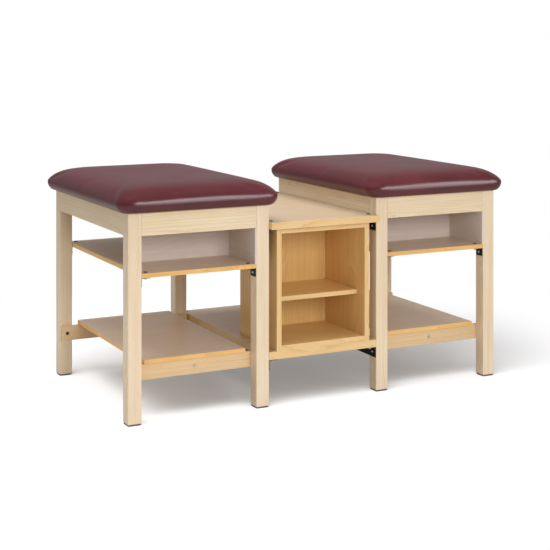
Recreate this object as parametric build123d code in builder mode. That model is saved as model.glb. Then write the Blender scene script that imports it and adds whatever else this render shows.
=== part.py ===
from build123d import *
import os

# A two-seat taping station: two identical padded wooden tables, tied together by a counter, a low board
# and an open cabinet. Millimetres. X runs along the length (left to right), Y from front to back, Z up.
# The origin is on the floor, under the centre of the object.

# ---- driving dimensions: the tables ----
leg = 57.15                     # square leg, 2 1/4 in
table_width = 609.6             # over the legs, 24 in
table_depth = 914.4             # over the legs, 36 in
gap = 508.0                     # between the two tables' legs, 20 in
frame_top = 825.0               # top of the legs and aprons
seat_top = 924.0                # working height, 36 3/8 in
seat_overhang = 50.8            # pad past the legs, on all four sides, 2 in

glide_size = 56.0
glide_height = 6.0
glide_corner = 9.0
glide_round = 2.0
leg_round = 3.5
leg_foot_chamfer = 1.6

apron_height = 92.1
apron_thickness = 19.05
apron_inset = 1.0               # apron face behind the leg face
board_round = 1.2               # eased edge of solid-wood boards
laminate_round = 0.8            # eased edge of laminate boards

# ---- seat pads ----
seat_corner = 76.0              # plan radius of the pad's corners, 3 in
seat_edge_round = 58.0          # rolled top edge
seat_tuck_round = 38.0          # the side rolls back in, down to the legs
cover_thickness = 1.5
cover_return = 46.0             # end of the vinyl folded under the board, in from the pad's widest line
cover_return_corner = 14.0
cover_gap = 0.25                # between the cover and what it wraps
seat_board_thickness = 19.05
seat_board_inset = 36.0         # the foam bulges this far past the board
seat_board_round = 6.0          # its bottom edge

# ---- shelves and rails ----
shelf_thickness = 17.5
mid_shelf_top = 587.0
rail_height = 63.5
rail_thickness = 19.05
rail_bottom = 158.4
rail_inset = 5.0                # a rail's ends, inside the legs' outer faces
lower_shelf_inset_x = 85.0      # from the legs' outer faces
lower_shelf_inset_y = 46.0

compartment_thickness = 6.35    # 1/4 in panels
compartment_height = 145.0      # above the shelf, to just under the front apron
compartment_depth = 254.0       # 10 in, from the legs' front faces to the compartment's back
compartment_open_end = 25.4     # the back stops this far from the left legs
compartment_round = 0.4

# ---- centre unit ----
counter_thickness = 28.6
counter_top = 752.0
counter_proud = 25.4            # past the legs, front and back
bottom_board_thickness = 31.75
bottom_board_top = 221.9
cabinet_gap = 35.0              # between a cabinet side and the leg next to it
cabinet_panel = 22.0
cabinet_depth = 350.0
cabinet_back_thickness = 6.35
cabinet_shelf_top = 430.0
cabinet_shelf_thickness = 19.05
cabinet_shelf_setback = 63.5
cabinet_shelf_play = 1.0        # each side, so that the shelf lifts out
cabinet_dowel_radius = 4.0
cabinet_dowel_length = 34.0
cabinet_dowel_in_side = 12.0    # the rest is in the floor or the top
cabinet_dowel_shares = (0.12, 0.5, 0.88)    # of the cabinet's depth

# ---- hardware ----
fit_gap = 0.05                  # radial, between a fastener and its hole
dowel_radius = 5.0
dowel_length = 50.0
dowel_end_gap = 1.0             # glue space past each end
dowel_edge = 23.0               # dowel centre from an apron's top or bottom edge
screw_radius = 2.1
screw_length = 16.0
screw_head_radius = 4.8
screw_head_height = 2.6
screw_head_taper = 20.0         # degrees
screw_cross_length = 5.4        # the cross recess for a driver
screw_cross_width = 1.3
screw_cross_depth = 1.6
bolt_radius = 3.0
bolt_head_radius = 8.5
bolt_head_height = 2.2
bolt_head_taper = 25.0
nut_width = 10.0
nut_height = 5.0
bolt_tail = 2.0                 # bolt past its nut
rail_bolt_radius = 4.0
rail_bolt_depth = 38.0          # into the leg or the stretcher
rail_bolt_head_radius = 7.5
rail_bolt_head_height = 5.0
rail_bolt_head_taper = 28.0
rail_bolt_socket = 5.0          # across the hexagon's flats
rail_bolt_socket_depth = 2.8

plate = 3.0                     # thickness of the table brackets
angle_round = 1.0
table_bracket_drop = 36.0       # shelf and seat brackets: the upright arm
table_bracket_reach = 38.0      # and the arm under the board
table_bracket_width = 44.0
table_bolt_out = 26.0           # bolt centre, out from the bracket's corner
seat_bracket_share = 0.3        # of the table's depth, in from each end
counter_bracket_drop = 40.0
counter_bracket_reach = 33.0
counter_bracket_width = 50.0
counter_bolt_out = 22.0
bottom_angle_drop = 45.0
bottom_angle_reach = 40.0
bottom_bolt_out = 21.0
bottom_bolt_inset = 19.05       # from the legs' front and back faces
bottom_angle_inset = 3.0        # its ends, behind the legs' outer faces

pin_radius = 3.0
pin_length = 22.0
pin_depth = 11.0                # into the cabinet side
pin_inset = 40.0                # from the shelf's front and back edges
pin_round = 0.8
pin_play = 0.05                 # under the shelf

# ---- places worked out from the above ----
half_length = table_width + gap / 2
front = -table_depth / 2
back = table_depth / 2
table_starts = {"left": -half_length, "right": gap / 2}
apron_bottom = frame_top - apron_height
rail_top = rail_bottom + rail_height
rail_middle = rail_bottom + rail_height / 2
lower_shelf_top = rail_top + shelf_thickness
mid_shelf_bottom = mid_shelf_top - shelf_thickness
counter_bottom = counter_top - counter_thickness
bottom_board_bottom = bottom_board_top - bottom_board_thickness
cabinet_left = -gap / 2 + cabinet_gap
cabinet_right = gap / 2 - cabinet_gap
apron_line = apron_inset + apron_thickness / 2          # an apron's mid-plane, behind the leg face
dowel_heights = (apron_bottom + dowel_edge, frame_top - dowel_edge)
corner_names = {"front_left": (0, 0), "front_right": (1, 0), "back_left": (0, 1), "back_right": (1, 1)}
cabinet_dowel_ys = [front + cabinet_depth * share for share in cabinet_dowel_shares]
cabinet_dowel_zs = (bottom_board_top + cabinet_panel / 2, counter_bottom - cabinet_panel / 2)
cabinet_pin_ys = (
    front + cabinet_shelf_setback + pin_inset,
    front + cabinet_depth - cabinet_back_thickness - pin_inset,
)
pin_height = cabinet_shelf_top - cabinet_shelf_thickness - pin_radius - pin_play
table_screw_drop = (table_bracket_drop + plate) / 2
counter_screw_drop = (counter_bracket_drop + plate) / 2
bottom_screw_drop = (bottom_angle_drop + plate) / 2


def save(builder, name):
    """Label a finished piece and write it as its own STEP file."""
    builder.part.label = name
    export_step(builder.part, f"parts/{name}.step")


def along(axis, point):
    """The plane at a point whose normal is an axis, given as (x, y, z)."""
    return Plane(origin=point, z_dir=axis)


def board(low, high, rounding):
    """A rectangular board between two opposite corners, its edges eased."""
    width, depth, height = (b - a for a, b in zip(low, high))
    centre = ((low[0] + high[0]) / 2, (low[1] + high[1]) / 2, low[2])
    with BuildPart() as piece:
        with BuildSketch(Plane(origin=centre)):
            Rectangle(width, depth)
        extrude(amount=height)
        fillet(piece.edges(), radius=rounding)
    return piece


def drill(piece, holes):
    """Cut round blind holes: each is (point on the surface, direction into the wood, radius, depth)."""
    with BuildPart() as drilled:
        add(piece.part)
        for point, direction, radius, depth in holes:
            with BuildSketch(along(direction, point)):
                Circle(radius)
            extrude(amount=depth, mode=Mode.SUBTRACT)
    return drilled


# ---------------------------------------------------------------- where the fasteners go

def inward_signs(column, row):
    """The directions from a leg to the table's middle: +1 or -1, in x and in y."""
    return 1 - 2 * column, 1 - 2 * row


def leg_centre(start, column, row):
    x = start + leg / 2 + column * (table_width - leg)
    y = front + leg / 2 + row * (table_depth - leg)
    return x, y


def apron_dowel_ends(start, column, row):
    """Dowel axes of one leg: points on the leg's inner faces and the direction out of the leg."""
    inward_x, inward_y = inward_signs(column, row)
    x, y = leg_centre(start, column, row)
    apron_x = x - inward_x * (leg / 2 - apron_line)
    apron_y = y - inward_y * (leg / 2 - apron_line)
    ends = []
    for z in dowel_heights:
        ends.append(((x + inward_x * leg / 2, apron_y, z), (inward_x, 0, 0)))
        ends.append(((apron_x, y + inward_y * leg / 2, z), (0, inward_y, 0)))
    return ends


def shelf_bracket_places(start):
    """Corner of each shelf bracket: on a leg's inner face, under the shelf, and the way it reaches."""
    places = []
    for column, row in corner_names.values():
        inward_x, _ = inward_signs(column, row)
        x, y = leg_centre(start, column, row)
        places.append(((x + inward_x * leg / 2, y, mid_shelf_bottom), inward_x))
    return places


def seat_bracket_places(start):
    """Corner of each seat bracket: an end apron's inner face, at the seat board's underside."""
    places = []
    for column, row in corner_names.values():
        inward_x, inward_y = inward_signs(column, row)
        x, y = leg_centre(start, column, row)
        face = x - inward_x * (leg / 2 - apron_inset - apron_thickness)
        places.append(((face, y + inward_y * seat_bracket_share * table_depth, frame_top), inward_x))
    return places


def counter_bracket_places():
    """Corner of each counter bracket: on the inner legs' faces that look into the gap."""
    places = []
    for x, outward in ((-gap / 2, 1), (gap / 2, -1)):
        for y in (front + leg / 2, back - leg / 2):
            places.append(((x, y, counter_bottom), outward))
    return places


def opposite(direction):
    return tuple(-d for d in direction)


def rail_bolt_places(start):
    """Rail bolts of one table: head seat, direction of the shank, and what the shank goes into."""
    places = []
    for row, rail_y, outward in ((0, front + leg + rail_thickness, -1), (1, back - leg - rail_thickness, 1)):
        for column in (0, 1):
            x, _ = leg_centre(start, column, row)
            places.append(((x, rail_y, rail_middle), (0, outward, 0)))
        seat = rail_y + outward * rail_thickness
        places.append(((start + table_width / 2, seat, rail_middle), (0, -outward, 0)))
    return places


def bracket_screw_seats():
    """Every bracket screw: the point under its head and the direction it is driven."""
    seats = []
    for start in table_starts.values():
        for (x, y, z), reach in shelf_bracket_places(start):
            seats.append(((x + reach * plate, y, z - table_screw_drop), (-reach, 0, 0)))
        for (x, y, z), reach in seat_bracket_places(start):
            seats.append(((x + reach * plate, y, z - table_screw_drop), (-reach, 0, 0)))
            seats.append(((x + reach * table_bolt_out, y, z - plate), (0, 0, 1)))
    for (x, y, z), reach in counter_bracket_places():
        seats.append(((x + reach * plate, y, z - counter_screw_drop), (-reach, 0, 0)))
    for x, reach in ((-gap / 2, 1), (gap / 2, -1)):
        for y in (front + leg / 2, back - leg / 2):
            seats.append(((x + reach * plate, y, bottom_board_bottom - bottom_screw_drop), (-reach, 0, 0)))
    return seats


def shelf_bolt_places():
    places = []
    for start in table_starts.values():
        for (x, y, _), reach in shelf_bracket_places(start):
            places.append((x + reach * table_bolt_out, y))
    return places


counter_bolt_places = [(x + reach * counter_bolt_out, y) for (x, y, _), reach in counter_bracket_places()]
bottom_bolt_places = [
    (side * (gap / 2 - bottom_bolt_out), y)
    for side in (-1, 1)
    for y in (front + bottom_bolt_inset, back - bottom_bolt_inset)
]


# ---------------------------------------------------------------- one table

def make_leg(start, column, row):
    """A square leg with eased corners, and the holes for its dowels, rail bolt and bracket screws."""
    x, y = leg_centre(start, column, row)
    with BuildPart() as piece:
        with BuildSketch(Plane.XY.offset(glide_height)):
            with Locations((x, y)):
                Rectangle(leg, leg)
        extrude(amount=frame_top - glide_height)
        fillet(piece.edges().filter_by(Axis.Z), radius=leg_round)
        chamfer(piece.faces().sort_by(Axis.Z)[0].edges(), length=leg_foot_chamfer)
    holes = []
    for point, outward in apron_dowel_ends(start, column, row):
        depth = dowel_length / 2 + dowel_end_gap
        holes.append((point, opposite(outward), dowel_radius + fit_gap, depth))
    inward_y = inward_signs(column, row)[1]
    bolt_point = (x, y + inward_y * leg / 2, rail_middle)
    holes.append((bolt_point, (0, -inward_y, 0), rail_bolt_radius + fit_gap, rail_bolt_depth + dowel_end_gap))
    for (seat_x, seat_y, seat_z), direction in bracket_screw_seats():
        face_x = seat_x + direction[0] * plate
        if direction[2] == 0 and abs(abs(face_x - x) - leg / 2) < fit_gap and abs(seat_y - y) < leg / 2:
            depth = screw_length - plate + dowel_end_gap
            holes.append(((face_x, seat_y, seat_z), direction, screw_radius + fit_gap, depth))
    return drill(piece, holes)


def make_long_apron(start, row):
    """The front or back apron, between two legs."""
    inward_y = 1 - 2 * row
    face = front + apron_inset if row == 0 else back - apron_inset
    near, far = sorted((face, face + inward_y * apron_thickness))
    low = (start + leg, near, apron_bottom)
    high = (start + table_width - leg, far, frame_top)
    holes = []
    for column in (0, 1):
        for point, outward in apron_dowel_ends(start, column, row):
            if outward[0] != 0:
                holes.append((point, outward, dowel_radius + fit_gap, dowel_length / 2 + dowel_end_gap))
    return drill(board(low, high, board_round), holes)


def make_end_apron(start, column):
    """The left or right apron, between a front leg and a back leg."""
    inward_x = 1 - 2 * column
    face = start + apron_inset if column == 0 else start + table_width - apron_inset
    near, far = sorted((face, face + inward_x * apron_thickness))
    low = (near, front + leg, apron_bottom)
    high = (far, back - leg, frame_top)
    holes = []
    for row in (0, 1):
        for point, outward in apron_dowel_ends(start, column, row):
            if outward[1] != 0:
                holes.append((point, outward, dowel_radius + fit_gap, dowel_length / 2 + dowel_end_gap))
    inner_face = face + inward_x * apron_thickness
    for (seat_x, seat_y, seat_z), direction in bracket_screw_seats():
        face_x = seat_x + direction[0] * plate
        if direction[2] == 0 and abs(face_x - inner_face) < fit_gap and seat_z > apron_bottom:
            depth = screw_length - plate + dowel_end_gap
            holes.append(((face_x, seat_y, seat_z), direction, screw_radius + fit_gap, depth))
    return drill(board(low, high, board_round), holes)


def pad_block(start, inset, bottom, top, top_round, bottom_round):
    """A seat-shaped block, smaller than the pad by an inset, with rolled top and bottom edges."""
    with BuildPart() as block:
        with BuildSketch(Plane.XY.offset(bottom)):
            with Locations((start + table_width / 2, 0)):
                RectangleRounded(
                    table_width + 2 * (seat_overhang - inset),
                    table_depth + 2 * (seat_overhang - inset),
                    seat_corner - inset,
                )
        extrude(amount=top - bottom)
        if top_round:
            fillet(block.faces().sort_by(Axis.Z)[-1].edges(), radius=top_round)
        if bottom_round:
            fillet(block.faces().sort_by(Axis.Z)[0].edges(), radius=bottom_round)
    return block


def make_seat_board(start):
    """The plywood under the foam, with pilot holes for the seat brackets' screws."""
    board_top = frame_top + seat_board_thickness
    piece = pad_block(start, seat_board_inset, frame_top, board_top, 0, seat_board_round)
    holes = []
    for (x, y, z), direction in bracket_screw_seats():
        if direction[2] == 1 and start < x < start + table_width:
            depth = screw_length - plate + dowel_end_gap
            holes.append(((x, y, frame_top), direction, screw_radius + fit_gap, depth))
    return drill(piece, holes)


def make_seat_foam(start):
    """The foam over the board: it bulges past the board, and its side rolls back in underneath."""
    inset = cover_thickness + cover_gap
    block = pad_block(
        start,
        inset,
        frame_top,
        seat_top - inset,
        seat_edge_round - inset,
        seat_tuck_round - inset,
    )
    with BuildPart() as piece:
        add(block.part)
        split(bisect_by=Plane.XY.offset(frame_top + seat_board_thickness + cover_gap), keep=Keep.TOP)
    return piece


def make_seat_cover(start):
    """The vinyl skin: over the top and sides, and folded under the board's edge."""
    bottom = frame_top - cover_thickness
    outside = pad_block(start, 0, bottom, seat_top, seat_edge_round, seat_tuck_round)
    inside = pad_block(
        start,
        cover_thickness,
        frame_top - cover_gap / 2,
        seat_top - cover_thickness,
        seat_edge_round - cover_thickness,
        seat_tuck_round - cover_thickness,
    )
    with BuildPart() as piece:
        add(outside.part)
        add(inside.part, mode=Mode.SUBTRACT)
        with BuildSketch(Plane.XY.offset(bottom)):
            with Locations((start + table_width / 2, 0)):
                RectangleRounded(
                    table_width + 2 * (seat_overhang - cover_return),
                    table_depth + 2 * (seat_overhang - cover_return),
                    cover_return_corner,
                )
        extrude(amount=cover_thickness, mode=Mode.SUBTRACT)
    return piece


def make_mid_shelf(start):
    """The laminate shelf between the legs, with a bolt hole over each bracket."""
    low = (start + leg, front, mid_shelf_bottom)
    high = (start + table_width - leg, back, mid_shelf_top)
    holes = [
        ((x, y, mid_shelf_top), (0, 0, -1), bolt_radius + fit_gap, shelf_thickness)
        for x, y in shelf_bolt_places()
        if low[0] < x < high[0]
    ]
    return drill(board(low, high, laminate_round), holes)


def make_compartment_right(start):
    """The right wall of the compartment, on the shelf and against the right legs' inner faces."""
    leg_face = start + table_width - leg
    low = (leg_face - compartment_thickness, front, mid_shelf_top)
    high = (leg_face, front + compartment_depth, mid_shelf_top + compartment_height)
    return board(low, high, compartment_round)


def make_compartment_back(start):
    """The back of the compartment, which stops short of the left legs and runs behind the right wall."""
    back_face = front + compartment_depth
    low = (start + leg + compartment_open_end, back_face, mid_shelf_top)
    high = (
        start + table_width - leg,
        back_face + compartment_thickness,
        mid_shelf_top + compartment_height,
    )
    return board(low, high, compartment_round)


def make_rail(start, row):
    """A cross rail on the legs' inner faces, with its two leg bolts and the stretcher's bolt."""
    near, far = sorted(
        (front + leg, front + leg + rail_thickness) if row == 0 else (back - leg - rail_thickness, back - leg)
    )
    low = (start + rail_inset, near, rail_bottom)
    high = (start + table_width - rail_inset, far, rail_top)
    holes = []
    for point, direction in rail_bolt_places(start):
        if near - fit_gap < point[1] < far + fit_gap:
            holes.append((point, direction, rail_bolt_radius + fit_gap, rail_thickness))
    return drill(board(low, high, board_round), holes)


def make_stretcher(start):
    """The front-to-back brace between the rails, bored in both ends."""
    centre = start + table_width / 2
    near = front + leg + rail_thickness
    far = back - leg - rail_thickness
    low = (centre - rail_thickness / 2, near, rail_bottom)
    high = (centre + rail_thickness / 2, far, rail_top)
    depth = rail_bolt_depth + dowel_end_gap
    holes = [
        ((centre, near, rail_middle), (0, 1, 0), rail_bolt_radius + fit_gap, depth),
        ((centre, far, rail_middle), (0, -1, 0), rail_bolt_radius + fit_gap, depth),
    ]
    return drill(board(low, high, board_round), holes)


def make_lower_shelf(start):
    low = (start + lower_shelf_inset_x, front + lower_shelf_inset_y, rail_top)
    high = (start + table_width - lower_shelf_inset_x, back - lower_shelf_inset_y, lower_shelf_top)
    return board(low, high, laminate_round)


# ---------------------------------------------------------------- centre unit

def make_counter():
    """The counter between the tables, proud of the legs at the front and the back."""
    low = (-gap / 2, front - counter_proud, counter_bottom)
    high = (gap / 2, back + counter_proud, counter_top)
    holes = [
        ((x, y, counter_top), (0, 0, -1), bolt_radius + fit_gap, counter_thickness)
        for x, y in counter_bolt_places
    ]
    return drill(board(low, high, board_round), holes)


def make_bottom_board():
    """The full-depth board that carries the cabinet."""
    low = (-gap / 2, front, bottom_board_bottom)
    high = (gap / 2, back, bottom_board_top)
    holes = [
        ((x, y, bottom_board_top), (0, 0, -1), bolt_radius + fit_gap, bottom_board_thickness)
        for x, y in bottom_bolt_places
    ]
    return drill(board(low, high, board_round), holes)


def make_cabinet_side(face, inward):
    """An upright side panel: its inner face is at x = face, and inward points into the cabinet."""
    near, far = sorted((face, face - inward * cabinet_panel))
    low = (near, front, bottom_board_top)
    high = (far, front + cabinet_depth - cabinet_back_thickness, counter_bottom)
    holes = []
    for y in cabinet_dowel_ys:
        for z in cabinet_dowel_zs:
            depth = cabinet_dowel_in_side + dowel_end_gap
            holes.append(((face, y, z), (-inward, 0, 0), cabinet_dowel_radius + fit_gap, depth))
    for y in cabinet_pin_ys:
        holes.append(((face, y, pin_height), (-inward, 0, 0), pin_radius + fit_gap, pin_depth + fit_gap))
    return drill(board(low, high, laminate_round), holes)


def make_cabinet_level(bottom):
    """The cabinet's floor or top, between its sides."""
    far = front + cabinet_depth - cabinet_back_thickness
    low = (cabinet_left + cabinet_panel, front, bottom)
    high = (cabinet_right - cabinet_panel, far, bottom + cabinet_panel)
    holes = []
    for y in cabinet_dowel_ys:
        for x, inward in ((low[0], 1), (high[0], -1)):
            depth = cabinet_dowel_length - cabinet_dowel_in_side + dowel_end_gap
            point = (x, y, bottom + cabinet_panel / 2)
            holes.append((point, (inward, 0, 0), cabinet_dowel_radius + fit_gap, depth))
    return drill(board(low, high, laminate_round), holes)


def make_cabinet_back():
    low = (cabinet_left, front + cabinet_depth - cabinet_back_thickness, bottom_board_top)
    high = (cabinet_right, front + cabinet_depth, counter_bottom)
    return board(low, high, laminate_round)


def make_cabinet_shelf():
    """The loose shelf, resting on its pins, a little narrower than the cabinet."""
    low = (
        cabinet_left + cabinet_panel + cabinet_shelf_play,
        front + cabinet_shelf_setback,
        cabinet_shelf_top - cabinet_shelf_thickness,
    )
    high = (
        cabinet_right - cabinet_panel - cabinet_shelf_play,
        front + cabinet_depth - cabinet_back_thickness - cabinet_shelf_play,
        cabinet_shelf_top,
    )
    return board(low, high, laminate_round)


# ---------------------------------------------------------------- hardware

def angle_profile(corner, reach, arm_down, arm_out):
    """An L profile in the XZ plane: one arm down the upright face, one out under the board above it."""
    x, y, z = corner
    with BuildSketch(Plane(origin=(x, y, z), x_dir=(reach, 0, 0), z_dir=(0, -reach, 0))) as profile:
        with BuildLine():
            Polyline(
                (0, 0), (arm_out, 0), (arm_out, -plate), (plate, -plate), (plate, -arm_down), (0, -arm_down),
                close=True,
            )
        make_face()
        outer = profile.vertices().sort_by_distance((x + reach * arm_out, y, z - arm_down))
        fillet(outer[:2], radius=angle_round)
    return profile


def make_angles(places, width, arm_down, arm_out, holes):
    """L-shaped steel brackets, centred across each place, all in one group."""
    with BuildPart() as group:
        for corner, reach in places:
            profile = angle_profile(corner, reach, arm_down, arm_out)
            extrude(profile.sketch, amount=width / 2, both=True)
        for point, direction, radius in holes:
            with BuildSketch(along(direction, point)):
                Circle(radius)
            extrude(amount=plate, mode=Mode.SUBTRACT)
    return group


def screw_holes(places, drop, out, bolts):
    """Holes of a set of brackets: a screw hole in the upright arm, and a hole in the arm under the board."""
    holes = []
    for (x, y, z), reach in places:
        holes.append(((x + reach * plate, y, z - drop), (-reach, 0, 0), screw_radius + fit_gap))
        upper_radius = bolt_radius if bolts else screw_radius
        holes.append(((x + reach * out, y, z - plate), (0, 0, 1), upper_radius + fit_gap))
    return holes


def make_bottom_angles():
    """Two long steel angles under the bottom board, screwed to the inner legs."""
    places = [((-gap / 2, 0, bottom_board_bottom), 1), ((gap / 2, 0, bottom_board_bottom), -1)]
    holes = []
    for (x, _, z), reach in places:
        for y in (front + leg / 2, back - leg / 2):
            seat = (x + reach * plate, y, z - bottom_screw_drop)
            holes.append((seat, (-reach, 0, 0), screw_radius + fit_gap))
    for x, y in bottom_bolt_places:
        holes.append(((x, y, bottom_board_bottom - plate), (0, 0, 1), bolt_radius + fit_gap))
    length = table_depth - 2 * bottom_angle_inset
    return make_angles(places, length, bottom_angle_drop, bottom_angle_reach, holes)


def make_dowels(centres, radius, length):
    """Plain wooden dowels: each is (middle point, direction)."""
    with BuildPart() as group:
        for point, direction in centres:
            with BuildSketch(along(direction, point)):
                Circle(radius)
            extrude(amount=length / 2, both=True)
    return group


def make_bracket_screws():
    """Pan-head wood screws with a cross recess, each driven along its direction from under its head."""
    with BuildPart() as group:
        for point, direction in bracket_screw_seats():
            with BuildSketch(along(direction, point)):
                Circle(screw_radius)
            extrude(amount=screw_length)
            with BuildSketch(along(opposite(direction), point)):
                Circle(screw_head_radius)
            extrude(amount=screw_head_height, taper=screw_head_taper)
            tip = tuple(p - d * screw_head_height for p, d in zip(point, direction))
            with BuildSketch(along(direction, tip)):
                Rectangle(screw_cross_length, screw_cross_width)
                Rectangle(screw_cross_width, screw_cross_length)
            extrude(amount=screw_cross_depth, mode=Mode.SUBTRACT)
    return group


def make_board_bolts(places, top, grip):
    """Flat-headed bolts dropped through a board and its bracket; grip is the thickness they clamp."""
    with BuildPart() as group:
        for x, y in places:
            with BuildSketch(Plane(origin=(x, y, top))):
                Circle(bolt_head_radius)
            extrude(amount=bolt_head_height, taper=bolt_head_taper)
            with BuildSketch(along((0, 0, -1), (x, y, top))):
                Circle(bolt_radius)
            extrude(amount=grip + nut_height + bolt_tail)
    return group


def make_bracket_nuts():
    """Hexagon nuts under the shelf brackets, the counter brackets and the bottom angles."""
    levels = [
        (shelf_bolt_places(), mid_shelf_bottom - plate),
        (counter_bolt_places, counter_bottom - plate),
        (bottom_bolt_places, bottom_board_bottom - plate),
    ]
    with BuildPart() as group:
        for places, under in levels:
            for x, y in places:
                with BuildSketch(along((0, 0, -1), (x, y, under))):
                    RegularPolygon(nut_width / 2, 6, major_radius=False)
                    Circle(bolt_radius + fit_gap, mode=Mode.SUBTRACT)
                extrude(amount=nut_height)
    return group


def make_rail_bolts():
    """Button-head bolts with a hexagon socket, through the rails into the legs and stretchers."""
    with BuildPart() as group:
        for start in table_starts.values():
            for point, direction in rail_bolt_places(start):
                with BuildSketch(along(direction, point)):
                    Circle(rail_bolt_radius)
                extrude(amount=rail_thickness + rail_bolt_depth)
                outward = opposite(direction)
                with BuildSketch(along(outward, point)):
                    Circle(rail_bolt_head_radius)
                extrude(amount=rail_bolt_head_height, taper=rail_bolt_head_taper)
                tip = tuple(p + o * rail_bolt_head_height for p, o in zip(point, outward))
                with BuildSketch(along(direction, tip)):
                    RegularPolygon(rail_bolt_socket / 2, 6, major_radius=False)
                extrude(amount=rail_bolt_socket_depth, mode=Mode.SUBTRACT)
    return group


def make_foot_glides():
    """Dark plastic pads under the legs."""
    with BuildPart() as group:
        for start in table_starts.values():
            with BuildSketch(Plane.XY):
                with Locations([leg_centre(start, column, row) for column, row in corner_names.values()]):
                    RectangleRounded(glide_size, glide_size, glide_corner)
            extrude(amount=glide_height)
        fillet(group.faces().group_by(Axis.Z)[0].edges(), radius=glide_round)
    return group


def make_shelf_pins():
    """Four pins in the cabinet sides, under the loose shelf."""
    with BuildPart() as group:
        for face, inward in ((cabinet_left + cabinet_panel, 1), (cabinet_right - cabinet_panel, -1)):
            for y in cabinet_pin_ys:
                with BuildSketch(along((inward, 0, 0), (face - inward * pin_depth, y, pin_height))):
                    Circle(pin_radius)
                extrude(amount=pin_length)
        fillet(group.edges().filter_by(GeomType.CIRCLE), radius=pin_round)
    return group


# ---------------------------------------------------------------- build everything

os.makedirs("parts", exist_ok=True)

for side, start in table_starts.items():
    for corner, (column, row) in corner_names.items():
        save(make_leg(start, column, row), f"{side}_leg_{corner}")
    save(make_long_apron(start, 0), f"{side}_apron_front")
    save(make_long_apron(start, 1), f"{side}_apron_back")
    save(make_end_apron(start, 0), f"{side}_apron_left")
    save(make_end_apron(start, 1), f"{side}_apron_right")
    save(make_seat_board(start), f"{side}_seat_board")
    save(make_seat_foam(start), f"{side}_seat_foam")
    save(make_seat_cover(start), f"{side}_seat_cover")
    save(make_mid_shelf(start), f"{side}_mid_shelf")
    save(make_compartment_right(start), f"{side}_compartment_right")
    save(make_compartment_back(start), f"{side}_compartment_back")
    save(make_rail(start, 0), f"{side}_rail_front")
    save(make_rail(start, 1), f"{side}_rail_back")
    save(make_stretcher(start), f"{side}_centre_stretcher")
    save(make_lower_shelf(start), f"{side}_lower_shelf")

save(make_counter(), "counter_board")
save(make_bottom_board(), "bottom_board")
save(make_cabinet_side(cabinet_left + cabinet_panel, 1), "cabinet_left_side")
save(make_cabinet_side(cabinet_right - cabinet_panel, -1), "cabinet_right_side")
save(make_cabinet_level(bottom_board_top), "cabinet_floor")
save(make_cabinet_level(counter_bottom - cabinet_panel), "cabinet_top")
save(make_cabinet_back(), "cabinet_back")
save(make_cabinet_shelf(), "cabinet_shelf")
save(make_shelf_pins(), "shelf_pins")

table_shelf_brackets = [place for start in table_starts.values() for place in shelf_bracket_places(start)]
table_seat_brackets = [place for start in table_starts.values() for place in seat_bracket_places(start)]
save(
    make_angles(
        table_shelf_brackets, table_bracket_width, table_bracket_drop, table_bracket_reach,
        screw_holes(table_shelf_brackets, table_screw_drop, table_bolt_out, bolts=True),
    ),
    "shelf_brackets",
)
save(
    make_angles(
        table_seat_brackets, table_bracket_width, table_bracket_drop, table_bracket_reach,
        screw_holes(table_seat_brackets, table_screw_drop, table_bolt_out, bolts=False),
    ),
    "seat_brackets",
)
save(
    make_angles(
        counter_bracket_places(), counter_bracket_width, counter_bracket_drop, counter_bracket_reach,
        screw_holes(counter_bracket_places(), counter_screw_drop, counter_bolt_out, bolts=True),
    ),
    "counter_brackets",
)
save(make_bottom_angles(), "bottom_angles")
save(make_bracket_screws(), "bracket_screws")
save(make_board_bolts(shelf_bolt_places(), mid_shelf_top, shelf_thickness + plate), "shelf_bolts")
save(make_board_bolts(counter_bolt_places, counter_top, counter_thickness + plate), "counter_bolts")
save(
    make_board_bolts(bottom_bolt_places, bottom_board_top, bottom_board_thickness + plate),
    "bottom_board_bolts",
)
save(make_bracket_nuts(), "bracket_nuts")
save(make_rail_bolts(), "rail_bolts")
save(make_foot_glides(), "foot_glides")

apron_dowel_centres = [
    end
    for start in table_starts.values()
    for column, row in corner_names.values()
    for end in apron_dowel_ends(start, column, row)
]
save(make_dowels(apron_dowel_centres, dowel_radius, dowel_length), "apron_dowels")
dowel_shift = cabinet_dowel_length / 2 - cabinet_dowel_in_side
cabinet_dowel_centres = [
    ((face + inward * dowel_shift, y, z), (inward, 0, 0))
    for face, inward in ((cabinet_left + cabinet_panel, 1), (cabinet_right - cabinet_panel, -1))
    for y in cabinet_dowel_ys
    for z in cabinet_dowel_zs
]
save(make_dowels(cabinet_dowel_centres, cabinet_dowel_radius, cabinet_dowel_length), "cabinet_dowels")
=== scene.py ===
"""Looks of the two-seat taping station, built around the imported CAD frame.

Metres, in the frame of the CAD: X along the length, Y from front to back, Z up, the floor at zero.
"""
import math
import random

import bmesh
import bpy
from mathutils import Matrix, Vector


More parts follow.
